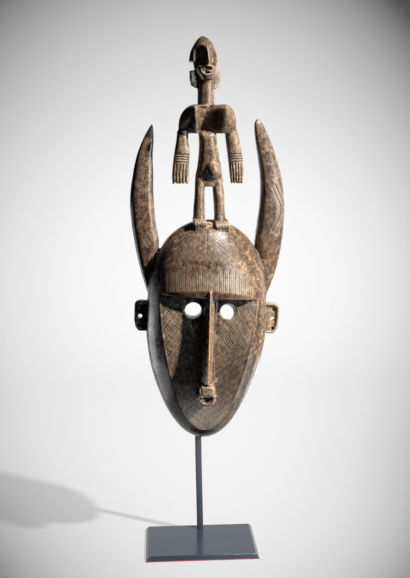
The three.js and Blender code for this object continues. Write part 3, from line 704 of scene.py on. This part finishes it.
# Where the colour of the wood differs, and where shade is painted on: middle and reach of a patch in the mask's frame,
# and strength.
stains = {
    "gold": [
        ((62, -30, 262), (34, 60, 40), 1.0), ((85, -10, 185), (16, 60, 60), 0.8), ((104, 5, 190), (12, 20, 26), 1.0),
        ((92, 0, 270), (18, 40, 60), 1.0), ((42, -8, 410), (16, 20, 40), 1.0), ((8, 0, 400), (16, 24, 40), 0.8),
        ((12, -20, 590), (10, 20, 22), 0.9), ((10, -20, 333), (30, 20, 8), 1.0), ((-44, -8, 410), (12, 20, 36), 0.8),
        ((45, -45, 180), (28, 20, 40), 0.5), ((30, 0, 480), (18, 24, 24), 0.5)],
    "red": [
        ((-30, -50, 285), (40, 40, 30), 0.6), ((-62, -20, 70), (24, 50, 40), 0.8), ((14, -40, 120), (10, 20, 16), 1.0),
        ((-96, 0, 330), (16, 30, 50), 0.6), ((20, -50, 300), (30, 40, 16), 0.5), ((96, 0, 300), (20, 30, 50), 0.5)],
    "pale": [
        ((42, -8, 408), (14, 20, 28), 0.9), ((-44, -8, 405), (12, 20, 24), 0.3), ((8, -12, 430), (12, 14, 46), 0.25),
        ((104, 5, 190), (14, 20, 28), 1.0), ((5, -18, 337), (34, 9, 6), 0.7), ((12, -24, 324), (10, 20, 10), 0.3),
        ((3, -72, 92), (12, 12, 12), 0.5), ((46, -8, 450), (10, 20, 30), 0.4), ((14, -8, 380), (10, 20, 30), 0.4),
        ((92, 0, 262), (14, 30, 26), 0.25)],
    # Near-black soot patches, most of them painted shade: the right part of the brow band, the right of the face beside
    # and below the nose, the right of the dome, the figure's side locks, the left of its hair and its left breast. The
    # others darken the chin, the right horn's root and the left ear.
    "sootAndShade": [
        ((45, -50, 231), (30, 12, 5), 0.3), ((24, -36, 150), (10, 12, 50), 0.3), ((42, -40, 110), (30, 20, 70), 0.45),
        ((62, -25, 285), (26, 60, 34), 0.22), ((-20, 0, 541), (10, 20, 22), 0.85), ((20, 0, 541), (9, 20, 20), 0.35),
        ((0, -60, 60), (40, 30, 30), 0.3), ((100, 10, 300), (14, 40, 60), 0.3), ((-88, 0, 200), (14, 60, 90), 0.45),
        ((-16, -10, 600), (14, 24, 22), 0.6), ((-30, -10, 500), (16, 30, 20), 0.5)],
}


def stainField(p, spots):
    total = np.zeros(len(p))
    for middle, reach, strength in spots:
        away = (((p - middle) / reach) ** 2).sum(axis=1)
        total = np.maximum(total, strength * np.exp(-away))
    return np.clip(total * (1 + 0.5 * noise(p, 11, 21)), 0, 1)


# Wear of the nose: its bare ridge, the pale line along its foot and the chips at its tip; its right flank, which faces
# the lamp, is painted paler as painted light.
def noseWear(x, y, z):
    aside, footX = y - noseRidge(z), nose["flank"][1] * noseGrow(z)
    ridge = bell(x - nose["ridge"] + 0.4, 1.6) * bell(aside, 2.5) * smooth(z, 104, 112) * smooth(212 - z, 0, 20)
    foot = bell(x - footX, 1.5) * bell(aside - nose["flankDepth"][1], 4) * smooth(z, 106, 112) * smooth(226 - z, 0, 10)
    flank = smooth(x, 1.5, 3) * smooth(footX + 1 - x, 0, 1) * smooth(19 - aside, 0, 2)
    flank = flank * smooth(z, 104, 108) * smooth(228 - z, 0, 6)
    chips = bell(x + 6, 3.5) * bell(y + 70, 12) * bell(z - 112, 6)
    return ridge, foot, flank, chips


x, y, z = points.T
ridge, foot, flank, chips = noseWear(x, y, z)
patches = {name: stainField(points, spots) for name, spots in stains.items()}
patches["gold"] = np.clip(patches["gold"] + 0.35 * isFigure, 0, 1)
# The nose's right flank is painted paler: painted light on the side that faces the lamp.
patches["pale"] = np.maximum(patches["pale"], 0.45 * flank)
for name, patch in patches.items():
    addField(mask, name, patch)
browEdge = bell(z - browTop(x) - 0.5, 2) * (y < -20) * smooth(72 - np.abs(x), 0, 10)
bare = 0.9 * ridge + 0.35 * browEdge * (0.5 + noise(points, 7, 22)) + 0.8 * chips * (noise(points, 2.4, 31) > 0.1)
addField(mask, "bare", np.clip(bare, 0, 1))
for name, (number, strength) in hatched.items():
    addField(mask, name + "Line", number)
    addField(mask, name + "Cut", strength)
# A light line along the left wing of the nose: a painted highlight.
wingHighlight = stroke(points[:, [0, 2]], (-9.5, 128), (-4.5, 116), 0.8) * (y < -45)
# The tip of the left horn is painted near-black: a painted shadow of the figure's head falling on it.
addField(mask, "tip", smooth(z + 0.3 * x, 427, 430) * (x < -70))
# Cut lines are painted near-black: dirt in the cuts and painted shade inside them.
addField(mask, "incised", np.clip(np.maximum(incised / 0.35, cuts / 0.5), 0, 1))
# Lighter wood: wear on convex edges, the raised bands and the nose foot, and the painted highlight along the left nose
# wing.
addField(mask, "wearAndHighlight", np.clip(bulge / 0.8 + 1.2 * bands + foot + wingHighlight, 0, 1))
addField(mask, "sunk", np.clip(-bulge / 1.1, 0, 1))
triangles = len(mask.data.polygons) * 2
if triangles > carving["triangles"]:
    applyModifier(mask, "DECIMATE", ratio=carving["triangles"] / triangles)
mask.data.transform(Matrix.Scale(0.001, 4) @ toWorld)
mask.data.shade_smooth()
print("carving done", len(mask.data.polygons), "triangles")


# Width and depth are those of the plate's top.
plate = {"width": 167, "depth": 101, "flare": 4.5, "bottom": 1.3, "thickness": 6}
bevels = {"plate": 0.0006, "rod": 0.0007, "felt": 0.0003}


def plateForm():
    bpy.ops.mesh.primitive_cube_add(size=1)
    piece = bpy.context.object
    piece.name = "basePlate"
    points = readPoints(piece)
    low = points[:, 2] < 0
    grow = np.where(low, 2 * plate["flare"], 0)
    points[:, 0] *= plate["width"] + grow
    points[:, 1] *= plate["depth"] + grow
    points[:, 2] = np.where(low, plate["bottom"], plate["bottom"] + plate["thickness"])
    writePoints(piece, points * 0.001)
    applyModifier(piece, "BEVEL", width=bevels["plate"], segments=3, limit_method="ANGLE")
    return piece


def nodeCopy(name, node):
    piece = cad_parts[node].copy()
    piece.data = piece.data.copy()
    piece.name = name
    piece.parent = None
    for key in list(piece.keys()):
        del piece[key]
    bpy.context.scene.collection.objects.link(piece)
    selectOnly(piece)
    bpy.ops.object.mode_set(mode="EDIT")
    bpy.ops.mesh.select_all(action="SELECT")
    bpy.ops.mesh.remove_doubles(threshold=0.00001)
    bpy.ops.mesh.tris_convert_to_quads()
    bpy.ops.object.mode_set(mode="OBJECT")
    return piece


basePlate = plateForm()
rod = nodeCopy("squareRod", "stand_rod")
applyModifier(rod, "BEVEL", width=bevels["rod"], segments=3, limit_method="ANGLE", angle_limit=math.radians(50))
rod.data.shade_smooth()
feltPad = nodeCopy("feltPad", "stand_felt")
corners = readPoints(feltPad)
plateHalf = np.array([plate["width"] / 2 + plate["flare"], plate["depth"] / 2 + plate["flare"]]) / 1000
corners[:, :2] *= plateHalf / np.abs(corners[:, :2]).max(axis=0)  # as wide as the plate's lower edge
writePoints(feltPad, corners)
applyModifier(feltPad, "BEVEL", width=bevels["felt"], segments=2, limit_method="ANGLE")
print("stand")


def startMaterial(name):
    material = bpy.data.materials.new(name)
    material.use_nodes = True
    return material, material.node_tree, material.node_tree.nodes["Principled BSDF"]


def feed(tree, node, inputs):
    for name, value in inputs.items():
        if isinstance(value, bpy.types.NodeSocket):
            tree.links.new(value, node.inputs[name])
        else:
            node.inputs[name].default_value = value


def addNode(tree, kind, inputs, **options):
    node = tree.nodes.new(kind)
    for name, value in options.items():
        setattr(node, name, value)
    feed(tree, node, inputs)
    return node


def calc(tree, operation, a, b=0.0, clamp=False):
    return addNode(tree, "ShaderNodeMath", {0: a, 1: b}, operation=operation, use_clamp=clamp).outputs[0]


def times(tree, a, b, clamp=False):
    return calc(tree, "MULTIPLY", a, b, clamp)


def plus(tree, a, b, clamp=False):
    return calc(tree, "ADD", a, b, clamp)


def blend(tree, share, a, b, kind="MIX"):
    return addNode(tree, "ShaderNodeMix", {0: share, 6: a, 7: b}, data_type="RGBA", blend_type=kind).outputs[2]


def field(tree, name):
    return addNode(tree, "ShaderNodeAttribute", {}, attribute_name=name).outputs["Fac"]


# Cloudy pattern from 0 to 1: size in metres, stretch slows the pattern down along an axis.
def cloud(tree, size, detail=4, rough=0.55, stretch=(1, 1, 1), span=(0.35, 0.65), shift=0, turn=(0, 0, 0)):
    where = addNode(tree, "ShaderNodeTexCoord", {})
    moved = addNode(tree, "ShaderNodeMapping", {"Vector": where.outputs["Object"], "Rotation": turn,
                                                "Location": (shift, shift, shift)})
    slow = addNode(tree, "ShaderNodeMapping", {"Vector": moved.outputs[0], "Scale": stretch})
    pattern = addNode(tree, "ShaderNodeTexNoise", {"Vector": slow.outputs[0], "Scale": 1 / size, "Detail": detail,
                                                   "Roughness": rough})
    level = addNode(tree, "ShaderNodeMapRange", {"Value": pattern.outputs["Fac"], "From Min": span[0],
                                                 "From Max": span[1]})
    return level.outputs[0]


def roughen(tree, shader, height, depth):
    bump = addNode(tree, "ShaderNodeBump", {"Height": height, "Distance": depth, "Strength": 1.0})
    feed(tree, shader, {"Normal": bump.outputs["Normal"]})


woodTones = {
    "patina": (0.020, 0.014, 0.010, 1), "brown": (0.110, 0.066, 0.041, 1), "tan": (0.30, 0.205, 0.135, 1),
    "gold": (0.34, 0.195, 0.085, 1), "red": (0.17, 0.055, 0.028, 1), "orange": (0.50, 0.19, 0.05, 1),
    "honey": (0.46, 0.34, 0.225, 1), "dirt": (0.010, 0.007, 0.005, 1), "sootAndShade": (0.009, 0.008, 0.0075, 1),
}
# Patterns of the wood: size, detail, roughness, stretch, span, shift and turn.
woodClouds = {
    "broad": (0.026, 5, 0.62, (1, 1, 0.6), (0.40, 0.60)),
    "coarse": (0.011, 5, 0.65, (1, 1, 0.8), (0.48, 0.57)),
    "mottle": (0.0055, 5, 0.65, (1, 1, 0.8), (0.46, 0.56), 0.45),
    "speck": (0.0026, 4, 0.6, (1, 1, 1), (0.52, 0.66), 0.3),
    "streaks": (0.0016, 3, 0.6, (1, 1, 0.1), (0.35, 0.65), 0.6),
    "steepScratch": (0.0011, 1, 0.5, (1, 1, 0.06), (0.62, 0.72), 0.1, (0, 0.75, 0)),
    "flatScratch": (0.0011, 1, 0.5, (0.08, 1, 1), (0.62, 0.72), 0.2, (0, 0.35, 0)),
    "pores": (0.0032, 5, 0.7, (1, 1, 0.7), (0.56, 0.66), 0.8),
    "fleck": (0.0026, 3, 0.6, (1, 1, 0.8), (0.34, 0.66), 0.15),
    "patch": (0.0065, 4, 0.65, (1, 1, 0.7), (0.38, 0.62), 0.55),
}


# One family of hatching: the dark cut, dirt in the groove and painted shade inside it, and how strongly the family is
# there.
def hatchLine(tree, name):
    number, strength = field(tree, name + "Line"), field(tree, name + "Cut")
    share = calc(tree, "ABSOLUTE", calc(tree, "SUBTRACT", calc(tree, "FRACT", number), 0.5))
    dark = addNode(tree, "ShaderNodeMapRange", {"Value": share, "From Min": 0.14, "From Max": 0.3, "To Min": 1.0,
                                                "To Max": 0.0}, interpolation_type="SMOOTHSTEP")
    each = calc(tree, "SINE", times(tree, calc(tree, "FLOOR", number), 2.4))
    each = plus(tree, times(tree, each, 0.3), 0.65)
    return times(tree, dark.outputs[0], times(tree, strength, each)), strength


def carvedWood():
    material, tree, shader = startMaterial("rubbedDarkWood")
    broad, coarse, mottle, speck, streaks, steep, flat, pores, fleck, patch = (
        cloud(tree, *row) for row in woodClouds.values())
    names = ("gold", "red", "pale", "sootAndShade", "tip", "bare", "wearAndHighlight", "sunk", "incised")
    gold, red, pale, sootAndShade, tip, bare, wearAndHighlight, sunk, incised = (field(tree, name) for name in names)
    scratches = calc(tree, "MAXIMUM", steep, flat)
    crest = 0.0
    for name in hatched:
        line, kept = hatchLine(tree, name)
        incised = calc(tree, "MAXIMUM", incised, line)
        crest = calc(tree, "MAXIMUM", crest, kept)
    # The wood between two cuts is painted lighter: a painted highlight where the crests catch the light.
    litCrest = calc(tree, "SUBTRACT", 0.9, times(tree, incised, 1.4))  # the wood between two cuts
    wearAndHighlight = plus(tree, wearAndHighlight, times(tree, crest, litCrest, True))
    tone = woodTones["patina"]
    for share, name in (
            (plus(tree, times(tree, broad, 0.5), 0.2), "brown"),
            (times(tree, streaks, 0.35), "brown"),
            (times(tree, coarse, 0.55), "brown"),
            (times(tree, mottle, plus(tree, times(tree, coarse, 0.4), 0.22), True), "tan"),
            (times(tree, gold, plus(tree, times(tree, coarse, 0.7), 0.15), True), "gold"),
            (times(tree, red, plus(tree, times(tree, coarse, 0.6), 0.2), True), "red"),
            (times(tree, speck, 0.4), "gold"),
            (times(tree, pores, 0.75), "dirt"),
            (times(tree, pale, 0.7), "honey")):
        tone = blend(tree, share, tone, woodTones[name])
    shade = times(tree, plus(tree, times(tree, fleck, 1.15), 0.43), plus(tree, times(tree, patch, 0.95), 0.45))
    grey = addNode(tree, "ShaderNodeCombineColor", {0: shade, 1: shade, 2: shade}).outputs[0]
    tone = blend(tree, 1.0, tone, grey, "MULTIPLY")
    for share, name in (
            # wear on edges and bands, and painted highlights on the crests and along the left nose wing
            (times(tree, wearAndHighlight, 0.62, True), "honey"),
            (bare, "orange"),
            (times(tree, scratches, 0.3), "tan"),
            (times(tree, sunk, 0.8, True), "dirt"),
            # cuts painted near-black: dirt and painted shade in the grooves
            (times(tree, incised, 0.95, True), "dirt"),
            # soot and painted shade patches, and the painted shadow on the left horn's tip
            (calc(tree, "MAXIMUM", sootAndShade, tip), "sootAndShade")):
        tone = blend(tree, share, tone, woodTones[name])
    rough = plus(tree, times(tree, mottle, 0.14), 0.16)
    rough = plus(tree, rough, times(tree, gold, 0.12))
    rough = plus(tree, rough, times(tree, tip, 0.3))
    rough = plus(tree, rough, times(tree, incised, 0.1), True)
    height = plus(tree, times(tree, speck, 0.5), times(tree, streaks, 0.5))
    height = calc(tree, "SUBTRACT", height, times(tree, scratches, 0.7))
    height = calc(tree, "SUBTRACT", height, times(tree, incised, 0.8))
    roughen(tree, shader, height, 0.00005)
    feed(tree, shader, {"Base Color": tone, "Roughness": rough})
    return material


# Name, dark and light tone, roughness and how much it reflects.
satinPlate = ("satinPlateMetal", (0.022, 0.030, 0.041, 1), (0.034, 0.045, 0.058, 1), 0.12, 1.0)
satinRod = ("satinRodMetal", (0.030, 0.034, 0.038, 1), (0.046, 0.051, 0.056, 1), 0.35, 0.5)


def darkMetal(name, colour, light, rough, shine):
    material, tree, shader = startMaterial(name)
    haze = cloud(tree, 0.05, 4, 0.5, (0.4, 1, 1))
    fine = cloud(tree, 0.0007, 2)
    feed(tree, shader, {"Base Color": blend(tree, times(tree, haze, 0.6), colour, light),
                        "Roughness": plus(tree, times(tree, haze, 0.1), rough), "Specular IOR Level": shine})
    roughen(tree, shader, fine, 0.000004)
    return material


def feltCloth():
    material, tree, shader = startMaterial("darkRedFelt")
    fibres = cloud(tree, 0.0008, 3)
    tone = blend(tree, fibres, (0.30, 0.025, 0.03, 1), (0.5, 0.06, 0.07, 1))
    feed(tree, shader, {"Base Color": tone, "Roughness": 0.95})
    roughen(tree, shader, fibres, 0.0002)
    return material


def dress(piece, material, node):
    piece.data.materials.clear()
    piece.data.materials.append(material)
    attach(piece, "root")
    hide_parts(node)


dress(mask, carvedWood(), "mask")
dress(basePlate, darkMetal(*satinPlate), "stand_base_plate")
dress(rod, darkMetal(*satinRod), "stand_rod")
dress(feltPad, feltCloth(), "stand_felt")
print("finishes")


studio = {
    "floorFront": -3.0, "floorBack": 0.9, "sweep": 0.8, "height": 3.0, "halfWidth": 5.0,
    "glowFloor": 0.68, "glowWall": 0.73, "paper": 0.13, "air": 0.012, "aim": (0, 0, 0.42),
    "key": ("keyLight", 62, 38, 6.0, (0.26, 0.26), 1150, (1, 1, 1)),
    # Soft boxes: azimuth, elevation, distance, size, watts, colour.
    "boxes": [
        ("rightBox", 38, 8, 1.6, (0.8, 0.75), 20, (1, 1, 1)),
        ("highBox", 36, 36, 1.6, (0.9, 0.7), 6, (1, 1, 1)),
        ("topBox", 36, 58, 1.6, (0.42, 0.42), 18, (0.88, 0.94, 1)),
        ("leftBox", -112, -20, 1.6, (1.6, 1.1), 8, (0.92, 0.96, 1)),
        ("backBox", 120, 6, 1.7, (0.9, 1.4), 6, (1, 1, 1)),
        ("lowLeft", -113, -28, 0.75, (0.4, 0.5), 2.2, (0.95, 0.97, 1)),
        ("floorLeft", -98, -48, 0.55, (0.4, 0.3), 0.7, (0.95, 0.97, 1)),
        ("floorFront", 15, -62, 0.46, (0.3, 0.2), 0.55, (0.95, 0.97, 1)),
        ("floorRight", 60, -50, 0.52, (0.4, 0.4), 1.5, (0.95, 0.97, 1)),
        ("floorBack", 132, -44, 0.56, (0.4, 0.3), 0.8, (0.95, 0.97, 1))],
}
# Camera: degrees, metres, and the photograph's focal length and height in pixels.
view = {"pitch": 9.86, "heading": 3.61, "at": (-0.069, -1.198, 0.625), "focal": 800, "pixels": 578, "sensor": 36}


# Pale paper that rises in one sweep behind the object. It glows with painted light, in a painted pool of light that is
# brightest behind the object and fades towards the corners.
def backdrop():
    bpy.ops.mesh.primitive_grid_add(x_subdivisions=120, y_subdivisions=160, size=2)
    piece = bpy.context.object
    piece.name = "backdrop"
    points = readPoints(piece)
    t = (points[:, 1] + 1) / 2 * 160  # 0 to 80 is floor, to 120 the sweep, to 160 wall
    bend = np.clip((t - 80) / 40, 0, 1) * math.pi / 2
    y = studio["floorBack"] + studio["sweep"] * np.sin(bend)
    z = studio["sweep"] * (1 - np.cos(bend)) + np.clip(t - 120, 0, 40) / 40 * studio["height"]
    y = np.where(t < 80, mix(studio["floorFront"], studio["floorBack"], t / 80), y)
    x = studio["halfWidth"] * points[:, 0] * np.abs(points[:, 0])
    writePoints(piece, np.stack([x, y, z - 0.0002], axis=1))
    piece.data.shade_smooth()
    wide = 0.49 + 0.44 * np.maximum(y, -0.4)
    middle = 0.0468 * y - 0.013 + 0.035 * smooth(0.45 - y, 0, 0.5)
    away = ((x - middle) / wide) ** 2 + (0.475 * np.exp(-y / 0.62)) ** 2
    away += (np.maximum(z + 0.03, 0) / 1.52) ** 2 * (y > 1)
    # painted pool of light: brightest behind the object, fading to the sides, the front and the top
    addField(piece, "paintedLightPool", np.clip(1 - away ** 1.5, 0.02, 1))
    addField(piece, "paintedGlow", mix(studio["glowFloor"], studio["glowWall"], smooth(y, 0.9, 1.6)))
    piece.visible_diffuse = False
    material, tree, shader = startMaterial("glowingBackdrop")
    fibre = cloud(tree, 0.01, 2)
    paper = times(tree, field(tree, "paintedLightPool"), plus(tree, times(tree, fibre, 0.01), 0.99))
    tint = blend(tree, paper, (0, 0, 0, 1), (studio["paper"], studio["paper"], studio["paper"], 1))
    # painted glow: the paper gives off light in its pool, though it is no lamp
    paintedGlow = times(tree, paper, field(tree, "paintedGlow"))
    light = blend(tree, paintedGlow, (0, 0, 0, 1), (1, 1, 1, 1))
    feed(tree, shader, {"Base Color": tint, "Emission Color": light, "Emission Strength": 1.0, "Roughness": 0.9,
                        "Specular IOR Level": 0.0})
    piece.data.materials.append(material)


def areaLight(name, azimuth, elevation, distance, size, watts, colour):
    a, e = math.radians(azimuth), math.radians(elevation)
    way = Vector((math.sin(a) * math.cos(e), -math.cos(a) * math.cos(e), math.sin(e)))
    data = bpy.data.lights.new(name, "AREA")
    data.shape, data.size, data.size_y = "RECTANGLE", size[0], size[1]
    data.energy, data.color = watts, colour
    light = bpy.data.objects.new(name, data)
    light.location = Vector(studio["aim"]) + way * distance
    light.rotation_euler = way.to_track_quat("Z", "Y").to_euler()
    bpy.context.scene.collection.objects.link(light)
    return light


def cameraFromPhoto():
    data = bpy.data.cameras.new("camera")
    data.lens, data.sensor_width = view["focal"] * view["sensor"] / view["pixels"], view["sensor"]
    camera = bpy.data.objects.new("camera", data)
    camera.location = view["at"]
    camera.rotation_euler = (math.pi / 2 - math.radians(view["pitch"]), 0, -math.radians(view["heading"]))
    bpy.context.scene.collection.objects.link(camera)
    bpy.context.scene.camera = camera


backdrop()
areaLight(*studio["key"]).visible_glossy = False  # the boxes make the reflections
for box in studio["boxes"]:
    light = areaLight(*box)
    light.visible_diffuse = False  # seen only as a soft reflection in the polish
    light.visible_camera = False
world = bpy.data.worlds.new("studioAir")
bpy.context.scene.world = world
world.use_nodes = True
feed(world.node_tree, world.node_tree.nodes["Background"], {"Color": (0.93, 0.96, 1, 1), "Strength": studio["air"]})
bpy.context.scene.view_settings.view_transform = "Standard"
cameraFromPhoto()
